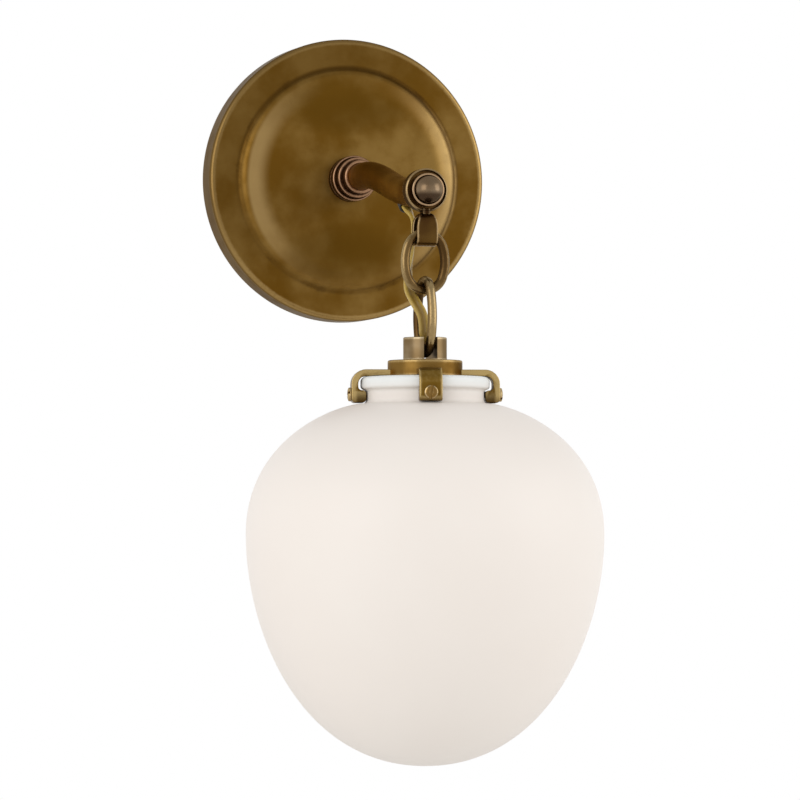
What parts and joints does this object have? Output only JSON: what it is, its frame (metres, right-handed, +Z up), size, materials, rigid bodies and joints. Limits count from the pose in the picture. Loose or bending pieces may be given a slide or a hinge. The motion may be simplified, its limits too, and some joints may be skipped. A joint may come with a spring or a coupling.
{
  "type": "hanging wall sconce",
  "caption": "Wall sconce with a round brass canopy and cranked stem, from which a stirrup and oval chain links hang a swivelling holder with an acorn-shaped opal glass shade.",
  "frame": {"origin": "centre of the canopy's open back, in the plane of the wall", "axes": "+X to the viewer's right, +Y into the wall, +Z up; the room is at -Y"},
  "size_m": [0.1616, 0.2308, 0.34],
  "materials": {
    "aged_brass": "hand-rubbed antique, satin",
    "brass_screws": "antique, rubbed brighter on edges",
    "bright_brass": "plain drawn",
    "zinc_steel": "zinc plated",
    "green_screw": "green earth-screw coating",
    "black_bush": "moulded, dark",
    "opal_glass": "opal white, satin etched",
    "porcelain": "white glaze",
    "frosted_bulb": "frosted white",
    "gold_cord": "translucent gold cord jacket"
  },
  "bodies": {
    "root": {"canopy_plate": "aged_brass", "wall_bracket": "zinc_steel", "canopy_set_screws": "brass_screws", "ground_screw": "green_screw", "stem_nipple": "zinc_steel", "lock_washer": "zinc_steel", "nipple_nut": "zinc_steel", "stem_flange": "aged_brass", "stem_check_ring": "aged_brass", "stem_tube": "aged_brass", "stem_cord_bush": "black_bush", "stem_lead": "gold_cord", "hub_spindle": "aged_brass", "hub_cup_washer": "aged_brass", "ball_nut": "aged_brass", "cord_upper": "gold_cord"},
    "stirrup": {"hanger_stirrup": "aged_brass", "cord_middle": "gold_cord"},
    "upper_link": {"upper_link": "aged_brass", "cord_lower": "gold_cord"},
    "lower_link": {"lower_link": "aged_brass"},
    "shade": {"swivel_cap": "aged_brass", "cross_pin": "brass_screws", "holder_disk": "aged_brass", "holder_arm_1": "aged_brass", "holder_arm_2": "aged_brass", "holder_arm_3": "aged_brass", "holder_arm_4": "aged_brass", "grip_screws": "brass_screws", "glass_shade": "opal_glass", "socket_cup": "aged_brass", "socket_nut": "zinc_steel", "socket_body": "porcelain", "socket_shell": "bright_brass", "socket_contact": "bright_brass", "lamp_base": "zinc_steel", "lamp_bulb": "frosted_bulb", "socket_lead": "gold_cord"}
  },
  "joints": [
    {"name": "stirrup_sway", "type": "hinge", "parent": "root", "child": "stirrup", "pos_m": [0, -0.15, -0.01368], "axis": [0, 1, 0], "range_deg": [-20, 20], "deforming": ["cord_upper", "cord_middle"]},
    {"name": "upper_link_swing", "type": "hinge", "parent": "stirrup", "child": "upper_link", "pos_m": [0, -0.15, -0.03431], "axis": [1, 0, 0], "range_deg": [-18, 18], "deforming": ["cord_middle", "cord_lower"]},
    {"name": "lower_link_sway", "type": "hinge", "parent": "upper_link", "child": "lower_link", "pos_m": [0, -0.15, -0.0545], "axis": [0, 1, 0], "range_deg": [-20, 20], "deforming": ["cord_lower"]},
    {"name": "shade_swing", "type": "hinge", "parent": "lower_link", "child": "shade", "pos_m": [0, -0.15, -0.08355], "axis": [1, 0, 0], "range_deg": [-12, 12], "deforming": ["cord_lower"]}
  ]
}
